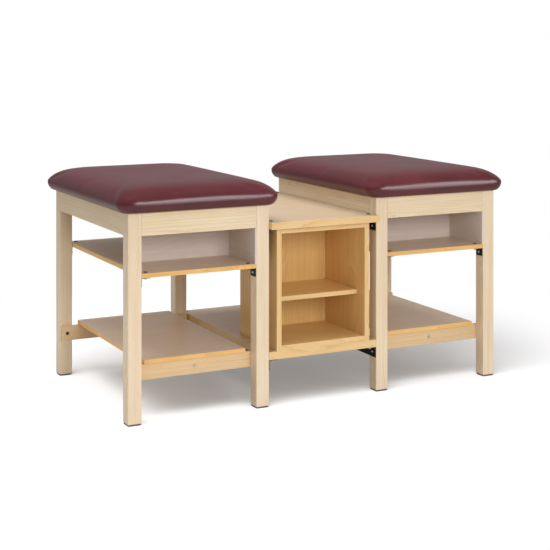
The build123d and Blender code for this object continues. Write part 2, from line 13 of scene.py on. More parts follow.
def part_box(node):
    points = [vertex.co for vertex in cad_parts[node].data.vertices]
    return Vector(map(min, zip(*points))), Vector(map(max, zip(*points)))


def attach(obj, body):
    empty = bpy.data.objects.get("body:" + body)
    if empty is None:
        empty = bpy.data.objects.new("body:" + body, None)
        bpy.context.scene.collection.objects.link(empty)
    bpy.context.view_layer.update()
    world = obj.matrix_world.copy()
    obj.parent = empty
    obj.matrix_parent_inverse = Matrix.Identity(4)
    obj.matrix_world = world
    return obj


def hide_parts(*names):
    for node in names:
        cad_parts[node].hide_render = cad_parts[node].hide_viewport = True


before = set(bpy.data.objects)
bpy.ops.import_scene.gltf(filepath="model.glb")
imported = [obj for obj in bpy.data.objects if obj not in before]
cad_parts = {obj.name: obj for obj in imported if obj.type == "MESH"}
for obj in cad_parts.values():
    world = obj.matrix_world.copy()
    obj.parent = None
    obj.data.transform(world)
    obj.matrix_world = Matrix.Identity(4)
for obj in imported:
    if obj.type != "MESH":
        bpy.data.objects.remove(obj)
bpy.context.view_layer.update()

SIDES = ("left", "right")
CORNERS = ("front_left", "front_right", "back_left", "back_right")

# ---- colours, as linear light: where the figure of the wood is light, and where it is dark ----
MAPLE_LIGHT = (0.86, 0.72, 0.54)        # the legs
MAPLE_DARK = (0.70, 0.53, 0.34)
APRON_LIGHT = (0.85, 0.71, 0.51)
APRON_DARK = (0.68, 0.52, 0.31)
RAIL_LIGHT = (0.76, 0.55, 0.32)         # the base's rails and stretchers
RAIL_DARK = (0.62, 0.42, 0.22)
GOLDEN_LIGHT = (0.82, 0.57, 0.29)       # the edge bands of the centre unit
GOLDEN_DARK = (0.66, 0.41, 0.16)
HONEY_LIGHT = (0.82, 0.55, 0.23)        # the faces of the cabinet's boards
HONEY_DARK = (0.66, 0.40, 0.13)
COUNTER_SHADED_LIGHT = (0.50, 0.38, 0.26)      # the faces of the counter: its laminate, darkened with painted shade
COUNTER_SHADED_DARK = (0.42, 0.30, 0.19)
SHELF_LIGHT = (0.77, 0.61, 0.46)        # the faces of the shelves
SHELF_DARK = (0.65, 0.49, 0.35)
BAND_LIGHT = (0.86, 0.52, 0.19)         # the edge bands of the tables' shelves
BAND_DARK = (0.70, 0.38, 0.11)
GREY_LIGHT = (0.74, 0.63, 0.58)         # the compartments
GREY_DARK = (0.66, 0.55, 0.50)
PLY_LIGHT = (0.62, 0.46, 0.28)
PLY_DARK = (0.45, 0.31, 0.17)
EDGE_HIGHLIGHT = (0.90, 0.82, 0.68)          # painted highlight along the edges of the wood
VINYL_DEEP = (0.064, 0.006, 0.010)
VINYL_WORN = (0.096, 0.011, 0.017)
POWDER_COAT = (0.006, 0.006, 0.007)
OXIDE = (0.030, 0.030, 0.032)
OXIDE_DEEP = (0.010, 0.010, 0.011)
ZINC_DULL = (0.68, 0.71, 0.73)
ZINC_BRIGHT = (0.92, 0.93, 0.94)
NYLON = (0.090, 0.080, 0.070)
PIN_PLASTIC = (0.72, 0.60, 0.42)

# ---- the grain, in metres ----
FINE_RINGS = 0.007                      # width of a growth ring in the legs and rails
APRON_RINGS = 0.009
PANEL_RINGS = 0.011
PLY_RINGS = 0.016
PLY_LAYERS = 0.0064                     # thickness of two layers of the plywood
PITH_SIDE = (0.05, 0.11)                # how far beside and under a board the heart of the tree lay
PITH_DEPTH = (0.03, 0.09)
RING_WANDER = 0.035                     # how far the rings stray from circles
EDGE_HIGHLIGHT_WIDTH = 0.0025                      # width of the painted highlight along an edge

# ---- the pads ----
PAD_CELL = 0.009                # mesh spacing before the simulation
PAD_CORNER = 0.076              # plan radius of the corners
PAD_ROLL = 0.072                # the rows round the edge end this far in, and the net of the top starts
PAD_STEEPNESS = 4.6             # of the rise from the edge to the middle
PAD_FULLNESS = 1.5              # at the corners; 2 would make the edge round, 1 a wedge
PAD_PLUMPNESS = 0.6             # how much fuller the edge is between the corners
PAD_TUCK = 0.038                # the side rolls back in this far below its widest line, and drops as far
PAD_ROLL_ROWS = 15              # rows from the widest line up to the net, closer together near the line
PAD_ROLL_EASE = 1.8
PAD_TUCK_ROWS = 8               # rows from the widest line down
PAD_RETURN = 0.041              # where the vinyl folded under the board ends
PAD_SKIN = 0.0013               # thickness of that fold
PAD_SHRINK = 0.002              # the pad starts this much smaller all round, and swells
PAD_PULL = 0.004                # the sides pull in this much between the corners
PAD_CAP = 0.006                 # the furthest a point may swell
PAD_FRAMES = 20                 # length of the simulation
PAD_PRESSURE = 4.0
PAD_HELD = 0.1                  # the rows lower than this share of the tuck stay put
PAD_EVENING = 5                 # how often the swelling is averaged with its surroundings
CORNER_SAVING = 0.43            # a rounded corner is this many of its radii shorter than a square one
BOARD_INSET = 0.036             # the board's edge, in from the pad's widest line
BOARD_ROUND = 0.006             # radius of the board's lower edge
BOARD_PLAY = 0.0005             # the pad stays this clear of the board

# ---- the studio ----
FLOOR_COLOUR = (0.93, 0.93, 0.94)
FLOOR_BOUNCE = (0.50, 0.48, 0.45)       # the floor as the object sees it
FLOOR_REACH = 40.0
FLOOR_LIFT = 0.20                       # how far the shadow is lifted towards white
FLOOR_FADE = (1.25, 2.2)                # the floor fades to plain white between these distances
FLOOR_OVAL = (0.8, 1.0, 1.0)            # distances count this much along each axis
SKY = 0.52
SKY_REFLECTED = 0.34
LIGHTS = {
    "key": {"place": (-0.3, -5.2, 2.0), "target": (0.0, 0.0, 0.5), "size": (3.0, 1.6), "power": 120},
    "overhead": {"place": (0.0, 0.2, 4.0), "target": (0.0, 0.0, 0.0), "size": (4.5, 2.5), "power": 180},
    "highlight": {"place": (2.3, -5.0, 2.3), "target": (0.0, -0.5, 0.9), "size": (6.0, 3.2), "power": 420},
    "floor_light": {"place": (-1.6, -1.3, 4.4), "target": (0.2, 0.0, 0.0), "size": (5.0, 4.0), "power": 370},
}

# ---- the camera, as the photograph was taken ----
CAMERA_PLACE = (-2.6588, -5.2606, 1.5156)
CAMERA_TURN = math.radians(-26.896)
CAMERA_LENS = 86.43             # millimetres
CAMERA_SENSOR = 36.0
CAMERA_SHIFT = (-0.0021, -0.43715)
SHIFT_REACH = 0.03              # the shift holds this near the camera's place, and fades over as much again


# ================================================================ materials

class Graph:
    """One procedural material, wired up node by node."""

    def __init__(self, name):
        self.material = bpy.data.materials.new(name)
        self.material.use_nodes = True
        self.tree = self.material.node_tree
        self.tree.nodes.clear()
        self.shader = self.tree.nodes.new("ShaderNodeBsdfPrincipled")
        output = self.tree.nodes.new("ShaderNodeOutputMaterial")
        self.tree.links.new(self.shader.outputs["BSDF"], output.inputs["Surface"])

    def node(self, kind, inputs=None, **settings):
        """Add a node; inputs are values or other nodes' outputs."""
        made = self.tree.nodes.new(kind)
        for key, value in settings.items():
            setattr(made, key, value)
        for key, value in (inputs or {}).items():
            self.feed(made.inputs[key], value)
        return made

    def feed(self, socket, value):
        if isinstance(value, bpy.types.NodeSocket):
            self.tree.links.new(value, socket)
        elif isinstance(value, tuple) and socket.type == "RGBA":
            socket.default_value = (*value, 1.0)
        else:
            socket.default_value = value

    def set(self, **inputs):
        """Set the shader's inputs, named in lower case with underscores."""
        for key, value in inputs.items():
            name = key.replace("_", " ").title().replace("Ior", "IOR")
            self.feed(self.shader.inputs[name], value)

    def coords(self):
        return self.node("ShaderNodeTexCoord").outputs["Object"]

    def vector(self, operation, first, second):
        made = self.node("ShaderNodeVectorMath", {0: first, 1: second}, operation=operation)
        return made.outputs["Vector"]

    def math(self, operation, first, second=0.0, clamp=False):
        made = self.node("ShaderNodeMath", {0: first, 1: second}, operation=operation, use_clamp=clamp)
        return made.outputs[0]

    def remap(self, value, from_low, from_high, to_low, to_high):
        made = self.node(
            "ShaderNodeMapRange",
            {
                "Value": value,
                "From Min": from_low,
                "From Max": from_high,
                "To Min": to_low,
                "To Max": to_high,
            },
        )
        return made.outputs["Result"]

    def mix(self, factor, first, second):
        made = self.node("ShaderNodeMix", data_type="RGBA")
        self.feed(made.inputs[0], factor)
        self.feed(made.inputs[6], first)
        self.feed(made.inputs[7], second)
        return made.outputs[2]

    def noise(self, place, scale, detail=2.0, roughness=0.5):
        """Smooth noise; a scale of three numbers stretches it."""
        stretched = self.vector("MULTIPLY", place, scale)
        made = self.node(
            "ShaderNodeTexNoise",
            {"Vector": stretched, "Scale": 1.0, "Detail": detail, "Roughness": roughness},
        )
        return made.outputs["Fac"]

    def bump(self, height, distance, strength=1.0):
        made = self.node("ShaderNodeBump", {"Height": height, "Distance": distance, "Strength": strength})
        self.feed(self.shader.inputs["Normal"], made.outputs["Normal"])

    def facing(self, axis):
        """One where the surface faces along an axis, and zero on a panel's edges."""
        normal = self.node("ShaderNodeNewGeometry").outputs["True Normal"]
        split = self.node("ShaderNodeSeparateXYZ", {0: normal})
        straight = self.math("ABSOLUTE", split.outputs[axis])
        return self.math("GREATER_THAN", straight, 0.8)


AXIS_ORDER = {"X": "XYZ", "Y": "YZX", "Z": "ZXY"}
RING_SCALE = 0.314              # a wave texture's scale, times the width of a ring in metres


def grain_place(graph, node_name, axis, dice):
    """Object coordinates with the grain along X, measured from the board's own middle."""
    low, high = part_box(node_name)
    middle = (low + high) / 2
    moved = graph.vector("SUBTRACT", graph.coords(), tuple(middle))
    split = graph.node("ShaderNodeSeparateXYZ", {0: moved})
    first, second, third = AXIS_ORDER[axis]
    turned = graph.node(
        "ShaderNodeCombineXYZ",
        {"X": split.outputs[first], "Y": split.outputs[second], "Z": split.outputs[third]},
    )
    shift = (dice.uniform(-9, 9), dice.uniform(-0.04, 0.04), dice.uniform(-0.04, 0.04))
    return graph.vector("ADD", turned.outputs["Vector"], shift)


def wood_figure(graph, place, dice, ring_width, figure):
    """How dark the wood is at each point, and its relief.

    Growth rings cut by the board, streaks and fibres along the grain, flecks, and cloudy patches.
    """
    pith = (0.0, dice.choice((-1, 1)) * dice.uniform(*PITH_SIDE), dice.uniform(*PITH_DEPTH))
    wander = graph.noise(place, (1.6, 5.0, 5.0), detail=2.0)
    push = graph.remap(wander, 0.2, 0.8, -RING_WANDER, RING_WANDER)
    bent = graph.vector("ADD", place, pith)
    bent = graph.vector("ADD", bent, graph.node("ShaderNodeCombineXYZ", {"Y": push, "Z": push}).outputs[0])
    rings = graph.node(
        "ShaderNodeTexWave",
        {
            "Vector": bent,
            "Scale": RING_SCALE / ring_width,
            "Distortion": 1.2,
            "Detail": 2.0,
            "Detail Scale": 1.5,
        },
        wave_type="RINGS",
        rings_direction="X",
        wave_profile="SAW",
    ).outputs["Fac"]
    late = graph.math("POWER", rings, 2.6)
    fibre = graph.noise(place, (22.0, 850.0, 850.0), detail=3.0, roughness=0.6)
    streak = graph.noise(place, (2.2, 95.0, 95.0), detail=3.0)
    fleck_noise = graph.noise(place, (70.0, 520.0, 520.0), detail=1.0)
    fleck = graph.remap(fleck_noise, 0.66, 0.74, 0.0, 1.0)
    cloud = graph.noise(place, (3.0, 11.0, 11.0), detail=2.0)
    dark = graph.math("MULTIPLY", late, 0.55 * figure)
    dark = graph.math("ADD", dark, graph.remap(streak, 0.3, 0.7, 0.0, 0.42 * figure))
    dark = graph.math("ADD", dark, graph.remap(fibre, 0.3, 0.7, -0.10, 0.16))
    dark = graph.math("ADD", dark, graph.math("MULTIPLY", fleck, 0.30))
    dark = graph.math("ADD", dark, graph.remap(cloud, 0.3, 0.7, -0.12, 0.20), clamp=True)
    height = graph.math("ADD", graph.math("MULTIPLY", fibre, 0.6), graph.math("MULTIPLY", fleck, -0.5))
    return dark, height


def highlit_edges(graph, colour, amount):
    """Lighten the colour slightly along the edges: a painted highlight."""
    soft = graph.node("ShaderNodeBevel", {"Radius": EDGE_HIGHLIGHT_WIDTH}, samples=4).outputs["Normal"]
    sharp = graph.node("ShaderNodeNewGeometry").outputs["True Normal"]
    agree = graph.node("ShaderNodeVectorMath", {0: soft, 1: sharp}, operation="DOT_PRODUCT").outputs["Value"]
    # painted highlight: lighter where the rounded normal turns away from the true one
    edge = graph.remap(agree, 0.98, 0.80, 0.0, amount)
    return graph.mix(edge, colour, EDGE_HIGHLIGHT)


def dice_for(name):
    """A random source that gives the same numbers for the same piece in every run."""
    return random.Random(sum(ord(letter) * (spot + 1) for spot, letter in enumerate(name)))


def solid_wood(node_name, axis, light, dark, ring_width=FINE_RINGS):
    """Lacquered solid wood with the grain along an axis."""
    graph = Graph(f"wood_{node_name}")
    dice = dice_for(node_name)
    place = grain_place(graph, node_name, axis, dice)
    shade, height = wood_figure(graph, place, dice, ring_width, 1.0)
    tone = dice.uniform(0.97, 1.02)
    colour = graph.mix(shade, tuple(tone * part for part in light), tuple(tone * part for part in dark))
    # painted highlight along the edges
    colour = highlit_edges(graph, colour, 0.30)
    roughness = graph.remap(height, 0.2, 0.6, 0.36, 0.46)
    graph.set(base_color=colour, roughness=roughness, coat_weight=0.12, coat_roughness=0.30)
    graph.bump(height, 0.00012)
    return graph.material


def banded_panel(node_name, axis, face_axis, face_colours, band_colours, sheen=0.34):
    """A laminate panel: printed grain on its two faces, and a wooden band round its edges."""
    graph = Graph(f"panel_{node_name}")
    dice = dice_for(node_name)
    place = grain_place(graph, node_name, axis, dice)
    shade, height = wood_figure(graph, place, dice, PANEL_RINGS, 0.9)
    face = graph.mix(shade, *face_colours)
    band = graph.mix(shade, *band_colours)
    # painted highlight along the band's edges
    band = highlit_edges(graph, band, 0.25)
    flat = graph.facing(face_axis)
    roughness = graph.remap(height, 0.2, 0.6, sheen, sheen + 0.08)
    graph.set(base_color=graph.mix(flat, band, face), roughness=roughness)
    graph.bump(height, 0.00005)
    return graph.material


def plywood(node_name):
    """Bare plywood: figured faces, and thin layers of alternating grain at the edges."""
    graph = Graph(f"plywood_{node_name}")
    dice = dice_for(node_name)
    place = grain_place(graph, node_name, "Y", dice)
    shade, height = wood_figure(graph, place, dice, PLY_RINGS, 1.3)
    face = graph.mix(shade, PLY_LIGHT, PLY_DARK)
    layers = graph.node(
        "ShaderNodeTexWave",
        {"Vector": graph.coords(), "Scale": RING_SCALE / PLY_LAYERS, "Distortion": 0.2},
        bands_direction="Z",
    ).outputs["Fac"]
    edge = graph.mix(graph.math("GREATER_THAN", layers, 0.5), PLY_LIGHT, PLY_DARK)
    flat = graph.facing("Z")
    graph.set(base_color=graph.mix(flat, edge, face), roughness=0.62)
    graph.bump(height, 0.0002)
    return graph.material


def upholstery_vinyl():
    """Burgundy upholstery vinyl: pebbled grain, a satin sheen and faint uneven wear."""
    graph = Graph("burgundy_vinyl")
    place = graph.coords()
    pebbles = graph.node(
        "ShaderNodeTexVoronoi",
        {"Vector": place, "Scale": 620.0, "Randomness": 1.0},
        feature="SMOOTH_F1",
    ).outputs["Distance"]
    creases = graph.noise(place, (90.0, 90.0, 90.0), detail=4.0, roughness=0.65)
    patches = graph.noise(place, (5.0, 5.0, 5.0), detail=3.0)
    height = graph.math("ADD", graph.math("MULTIPLY", pebbles, -0.55), graph.math("MULTIPLY", creases, 0.45))
    worn = graph.remap(patches, 0.3, 0.7, 0.0, 0.75)
    rubbed = graph.remap(creases, 0.3, 0.7, 0.0, 0.25)
    wear = graph.math("ADD", worn, rubbed)
    colour = graph.mix(wear, VINYL_DEEP, VINYL_WORN)
    roughness = graph.remap(patches, 0.3, 0.7, 0.29, 0.37)
    graph.set(base_color=colour, roughness=roughness, specular_ior_level=0.5)
    graph.bump(height, 0.00025, 0.6)
    return graph.material


def painted_steel(name, colour, roughness, metallic=0.0):
    """Powder coat or black oxide: fine orange peel, and patches of dust."""
    graph = Graph(name)
    place = graph.coords()
    peel = graph.noise(place, (1400.0, 1400.0, 1400.0), detail=2.0)
    dust = graph.noise(place, (60.0, 60.0, 60.0), detail=4.0)
    brighter = tuple(min(1.0, 2.0 * part + 0.01) for part in colour)
    base = graph.mix(graph.remap(dust, 0.35, 0.75, 0.0, 0.6), colour, brighter)
    rough = graph.remap(dust, 0.3, 0.7, roughness, roughness + 0.12)
    graph.set(base_color=base, roughness=rough, metallic=metallic, specular_ior_level=0.25)
    graph.bump(peel, 0.00008)
    return graph.material


def bright_steel(name):
    """Zinc-plated steel: turned marks and uneven brightness."""
    graph = Graph(name)
    place = graph.coords()
    cloud = graph.noise(place, (240.0, 240.0, 240.0), detail=3.0)
    marks = graph.noise(place, (2600.0, 2600.0, 500.0), detail=1.0)
    base = graph.mix(cloud, ZINC_DULL, ZINC_BRIGHT)
    graph.set(base_color=base, roughness=graph.remap(cloud, 0.3, 0.7, 0.22, 0.42), metallic=1.0)
    graph.bump(marks, 0.00003)
    return graph.material


def rail_bolt_steel():
    """Zinc-plated bolt heads on the front rails, and blackened ones on the back rails."""
    graph = Graph("rail_bolt_steel")
    place = graph.coords()
    cloud = graph.noise(place, (240.0, 240.0, 240.0), detail=3.0)
    depth = graph.node("ShaderNodeSeparateXYZ", {"Vector": place}).outputs["Y"]
    behind = graph.math("GREATER_THAN", depth, 0.0)
    zinc = graph.mix(cloud, ZINC_DULL, ZINC_BRIGHT)
    black = graph.mix(cloud, OXIDE_DEEP, OXIDE)
    graph.set(
        base_color=graph.mix(behind, zinc, black),
        roughness=graph.remap(cloud, 0.3, 0.7, 0.25, 0.42),
        metallic=graph.math("SUBTRACT", 1.0, behind),
    )
    graph.bump(cloud, 0.00003)
    return graph.material


def moulded_plastic(name, colour, roughness):
    """Moulded plastic: a faint spark-eroded texture and slight scuffing."""
    graph = Graph(name)
    place = graph.coords()
    texture = graph.noise(place, (1800.0, 1800.0, 1800.0), detail=2.0)
    scuffs = graph.noise(place, (160.0, 160.0, 900.0), detail=3.0)
    lighter = tuple(min(1.0, 1.6 * part + 0.02) for part in colour)
    base = graph.mix(graph.remap(scuffs, 0.45, 0.75, 0.0, 0.7), colour, lighter)
    graph.set(base_color=base, roughness=graph.remap(scuffs, 0.3, 0.7, roughness, roughness + 0.15))
    graph.bump(texture, 0.00006)
    return graph.material


def dress(node_name, material):
    """Give a CAD node its material."""
    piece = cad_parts[node_name]
    for slot in piece.material_slots:
        slot.material = material


def dress_tables():
    """Both tables: solid legs, aprons and rails, banded shelves, grey compartments, and the seat boards."""
    for side in SIDES:
        for corner in CORNERS:
            name = f"{side}_leg_{corner}"
            dress(name, solid_wood(name, "Z", MAPLE_LIGHT, MAPLE_DARK))
        for place, axis in (("front", "X"), ("back", "X"), ("left", "Y"), ("right", "Y")):
            name = f"{side}_apron_{place}"
            dress(name, solid_wood(name, axis, APRON_LIGHT, APRON_DARK, ring_width=APRON_RINGS))
        for place, axis in (("rail_front", "X"), ("rail_back", "X"), ("centre_stretcher", "Y")):
            name = f"{side}_{place}"
            dress(name, solid_wood(name, axis, RAIL_LIGHT, RAIL_DARK))
        for place in ("mid_shelf", "lower_shelf"):
            name = f"{side}_{place}"
            dress(name, banded_panel(name, "X", "Z", (SHELF_LIGHT, SHELF_DARK), (BAND_LIGHT, BAND_DARK)))
        grey = (GREY_LIGHT, GREY_DARK)
        for place, axis, face_axis in (("back", "X", "Y"), ("right", "Y", "X")):
            name = f"{side}_compartment_{place}"
            dress(name, banded_panel(name, axis, face_axis, grey, grey, 0.42))
        dress(f"{side}_seat_board", plywood(f"{side}_seat_board"))


def dress_centre():
    """The counter, the bottom board and the cabinet."""
    golden = (GOLDEN_LIGHT, GOLDEN_DARK)
    honey = (HONEY_LIGHT, HONEY_DARK)
    shelf = (SHELF_LIGHT, SHELF_DARK)
    dress("bottom_board", banded_panel("bottom_board", "X", "Z", shelf, golden, 0.30))
    # painted shade: the counter's faces are darker than its laminate
    counter = (COUNTER_SHADED_LIGHT, COUNTER_SHADED_DARK)
    dress("counter_board", banded_panel("counter_board", "X", "Z", counter, golden, 0.38))
    for name, axis, face_axis in (
        ("cabinet_left_side", "Z", "X"),
        ("cabinet_right_side", "Z", "X"),
        ("cabinet_floor", "X", "Z"),
        ("cabinet_top", "X", "Z"),
        ("cabinet_back", "Z", "Y"),
        ("cabinet_shelf", "X", "Z"),
    ):
        dress(name, banded_panel(name, axis, face_axis, honey, golden, 0.38))


def dress_hardware():
    """Brackets, fasteners, glides, pins and dowels."""
    black = painted_steel("black_powder_coat", POWDER_COAT, 0.46)
    oxide = painted_steel("black_oxide", OXIDE, 0.34, metallic=0.6)
    zinc = bright_steel("bright_zinc")
    glide = moulded_plastic("dark_nylon", NYLON, 0.45)
    pin = moulded_plastic("pale_plastic", PIN_PLASTIC, 0.40)
    for names, material in (
        (("shelf_brackets", "seat_brackets", "counter_brackets", "bottom_angles"), black),
        (("shelf_bolts", "counter_bolts"), oxide),
        (("bracket_screws", "bottom_board_bolts", "bracket_nuts"), zinc),
        (("rail_bolts",), rail_bolt_steel()),
        (("foot_glides",), glide),
        (("shelf_pins",), pin),
    ):
        for name in names:
            dress(name, material)
    for name in ("apron_dowels", "cabinet_dowels"):
        dress(name, solid_wood(name, "X", PLY_LIGHT, PLY_DARK))


# ================================================================ the pads

def side_line(length, cells):
    """Places along one side of the pad, from the middle of one corner to the middle of the next.

    Each is (distance of its core point from the side's middle, angle of its direction off the side's normal).
    """
    half = length / 2 - PAD_CORNER
    arc = PAD_CORNER * math.pi / 4
    points = []
    for step in range(cells):
        run = 2 * (arc + half) * step / cells
        if run < arc:
            points.append((-half, (run - arc) / PAD_CORNER))
        elif run < arc + 2 * half:
            points.append((run - arc - half, 0.0))
        else:
            points.append((half, (run - arc - 2 * half) / PAD_CORNER))
    return points


def pad_ring(size, counts, shift, trim):
    """Points round the pad: shift moves the corners' centres in, and trim makes their radius smaller."""
    ring = []
    for quarter in range(4):
        turn = quarter * math.pi / 2
        across = Vector((math.cos(turn), math.sin(turn), 0.0))
        outward = Vector((math.sin(turn), -math.cos(turn), 0.0))
        length, depth = (size.x, size.y) if quarter % 2 == 0 else (size.y, size.x)
        squeeze = 1 - shift / (length / 2 - PAD_CORNER)
        for place, angle in side_line(length, counts[quarter % 2]):
            core = across * (place * squeeze) + outward * (depth / 2 - PAD_CORNER - shift)
            ring.append(core + (outward * math.cos(angle) + across * math.sin(angle)) * (PAD_CORNER - trim))
    return ring


def pad_rise(inset, size):
    """Height above the widest line, this far in: steep at the edge, easing into an even crown."""
    run = min(inset / (size.x / 2), 1.0)
    return (size.z - PAD_TUCK) * (1 - (1 - run) ** PAD_STEEPNESS) ** (1 / PAD_FULLNESS)


def pad_inset(x, y, size):
    """How far in a point of the top lies, when every level line has the same corner radius."""
    past_x = abs(x) - (size.x / 2 - PAD_CORNER)
    past_y = abs(y) - (size.y / 2 - PAD_CORNER)
    if abs(past_x - past_y) < PAD_CORNER:
        return (math.sqrt(2 * PAD_CORNER ** 2 - (past_x - past_y) ** 2) - past_x - past_y) / 2
    return PAD_CORNER - max(past_x, past_y)


def pad_rows(size):
    """Rows round the pad, top to bottom, as (shift, trim, height above the pad's underside)."""
    rows = []
    for step in range(PAD_ROLL_ROWS + 1):
        inset = PAD_ROLL * (1 - step / PAD_ROLL_ROWS) ** PAD_ROLL_EASE
        rows.append((inset, 0.0, PAD_TUCK + pad_rise(inset, size)))
    for step in range(1, PAD_TUCK_ROWS + 1):
        angle = math.pi / 2 * step / PAD_TUCK_ROWS
        rows.append((0.0, PAD_TUCK * (1 - math.cos(angle)), PAD_TUCK * (1 - math.sin(angle))))
    rows.append((0.0, PAD_RETURN, 0.0))
    return rows


def plump(vert, size):
    """Raise a point of the top where it lies between the corners, so that the edge is fuller there."""
    if vert.co.z <= PAD_TUCK:
        return
    corner = min(abs(2 * vert.co.x / size.x), abs(2 * vert.co.y / size.y))
    fullness = PAD_FULLNESS + PAD_PLUMPNESS * (1 - corner ** 3)
    crown = size.z - PAD_TUCK
    vert.co.z = PAD_TUCK + crown * ((vert.co.z - PAD_TUCK) / crown) ** (PAD_FULLNESS / fullness)


def pull_in(vert, size):
    """Draw a point in towards the middle, most between the corners and not at all at the underside."""
    give = min(vert.co.z / PAD_TUCK, 1.0)
    pull_x = PAD_SHRINK + PAD_PULL * (1 - (2 * vert.co.y / size.y) ** 2)
    pull_y = PAD_SHRINK + PAD_PULL * (1 - (2 * vert.co.x / size.x) ** 2)
    vert.co.x *= 1 - 2 * give * pull_x / size.x
    vert.co.y *= 1 - 2 * give * pull_y / size.y


def pad_skin(size):
    """The pad's outer skin before it swells, open under the board, and the points that stay put."""
    counts = [round((length - CORNER_SAVING * PAD_CORNER) / PAD_CELL) for length in (size.x, size.y)]
    grid = bmesh.new()
    rows = []
    held = []
    for shift, trim, height in pad_rows(size):
        line = [grid.verts.new((x, y, height)) for x, y, _ in pad_ring(size, counts, shift, trim)]
        rows.append(line)
        if height < PAD_TUCK * PAD_HELD:
            held.extend(line)
    for upper, lower in zip(rows, rows[1:]):
        for spot in range(len(upper)):
            following = (spot + 1) % len(upper)
            grid.faces.new((upper[spot], lower[spot], lower[following], upper[following]))
    fill_top(grid, rows[0], counts, size)
    for vert in grid.verts:
        plump(vert, size)
        pull_in(vert, size)
    grid.verts.index_update()
    return grid, [vert.index for vert in held]


def fill_top(grid, ring, counts, size):
    """Fill the ring with an even net of quads that blends its four sides, at the height of the crown."""
    across, deep = counts
    front = ring[:across + 1]
    right = ring[across:across + deep + 1]
    back = list(reversed(ring[across + deep:2 * across + deep + 1]))
    left = [ring[0]] + list(reversed(ring[2 * across + deep:]))
    net = {}
    for column in range(across + 1):
        net[column, 0] = front[column]
        net[column, deep] = back[column]
    for row in range(deep + 1):
        net[0, row] = left[row]
        net[across, row] = right[row]
    corner_points = [net[0, 0].co, net[across, 0].co, net[0, deep].co, net[across, deep].co]
    for column in range(1, across):
        u = column / across
        for row in range(1, deep):
            v = row / deep
            point = front[column].co * (1 - v) + back[column].co * v
            point = point + left[row].co * (1 - u) + right[row].co * u
            weights = ((1 - u) * (1 - v), u * (1 - v), (1 - u) * v, u * v)
            for weight, corner_point in zip(weights, corner_points):
                point = point - corner_point * weight
            point.z = PAD_TUCK + pad_rise(pad_inset(point.x, point.y, size), size)
            net[column, row] = grid.verts.new(point)
    for column in range(across):
        for row in range(deep):
            near = (net[column, row], net[column + 1, row])
            far = (net[column + 1, row + 1], net[column, row + 1])
            grid.faces.new(near + far)


def evened(moves, edges):
    """The moves, each averaged with its neighbours' a few times, so that no wrinkle stays."""
    for _ in range(PAD_EVENING):
        sums = [move.copy() for move in moves]
        counts = [1] * len(moves)
        for edge in edges:
            one, other = edge.vertices
            sums[one] += moves[other]
            sums[other] += moves[one]
            counts[one] += 1
            counts[other] += 1
        moves = [total / count for total, count in zip(sums, counts)]
    return moves


def swell(pad, held):
    """Blow the pad up a little with a cloth simulation, and keep the result."""
    start = [vert.co.copy() for vert in pad.data.vertices]
    group = pad.vertex_groups.new(name="held")
    group.add(held, 1.0, "REPLACE")
    cloth = pad.modifiers.new("swell", "CLOTH")
    settings = cloth.settings
    settings.quality = 6
    settings.mass = 0.4
    settings.tension_stiffness = 30
    settings.compression_stiffness = 30
    settings.shear_stiffness = 12
    settings.bending_stiffness = 2.0
    settings.air_damping = 3.0
    settings.shrink_min = -0.004
    settings.use_pressure = True
    settings.uniform_pressure_force = PAD_PRESSURE
    settings.vertex_group_mass = "held"
    settings.effector_weights.gravity = 0.0
    cloth.point_cache.frame_start = 1
    cloth.point_cache.frame_end = PAD_FRAMES
    scene = bpy.context.scene
    for step in range(1, PAD_FRAMES + 1):
        scene.frame_set(step)
    graph = bpy.context.evaluated_depsgraph_get()
    swollen = bpy.data.meshes.new_from_object(pad.evaluated_get(graph))
    pad.modifiers.remove(cloth)
    moves = [after.co - before for before, after in zip(start, swollen.vertices)]
    bpy.data.meshes.remove(swollen)
    scene.frame_set(1)
    for vert, before, move in zip(pad.data.vertices, start, evened(moves, pad.data.edges)):
        if move.length > 0:
            vert.co = before + move * (PAD_CAP * math.tanh(move.length / PAD_CAP) / move.length)


def refine(pad):
    """One level of subdivision, applied."""
    pad.modifiers.new("smooth", "SUBSURF").levels = 1
    graph = bpy.context.evaluated_depsgraph_get()
    finer = bpy.data.meshes.new_from_object(pad.evaluated_get(graph))
    pad.modifiers.clear()
    old = pad.data
    pad.data = finer
    bpy.data.meshes.remove(old)


def close_underside(pad, size, board_low, board_high):
    """Give the fold its thickness, and line the recess that the board sits in."""
    grid = bmesh.new()
    grid.from_mesh(pad.data)
    rows = [(PAD_RETURN, PAD_SKIN)]
    for angle in (math.pi / 3, math.pi / 6, 0.0):
        reach = BOARD_ROUND + BOARD_PLAY
        rows.append((
            BOARD_INSET + BOARD_ROUND - reach * math.cos(angle),
            board_low + BOARD_ROUND - reach * math.sin(angle),
        ))
    rows.append((BOARD_INSET - BOARD_PLAY, board_high + BOARD_PLAY))
    core = Vector((size.x / 2 - PAD_CORNER, size.y / 2 - PAD_CORNER, 0.0))
    edges = [edge for edge in grid.edges if edge.is_boundary]
    for inset, height in rows:
        made = bmesh.ops.extrude_edge_only(grid, edges=edges)["geom"]
        edges = [item for item in made if isinstance(item, bmesh.types.BMEdge)]
        for vert in (item for item in made if isinstance(item, bmesh.types.BMVert)):
            nearest = Vector((
                min(max(vert.co.x, -core.x), core.x),
                min(max(vert.co.y, -core.y), core.y),
                0.0,
            ))
            direction = (Vector((vert.co.x, vert.co.y, 0.0)) - nearest).normalized()
            place = nearest + direction * (PAD_CORNER - inset)
            vert.co = (place.x, place.y, height)
    bmesh.ops.contextual_create(grid, geom=edges)
    bmesh.ops.recalc_face_normals(grid, faces=grid.faces)
    grid.to_mesh(pad.data)
    grid.free()


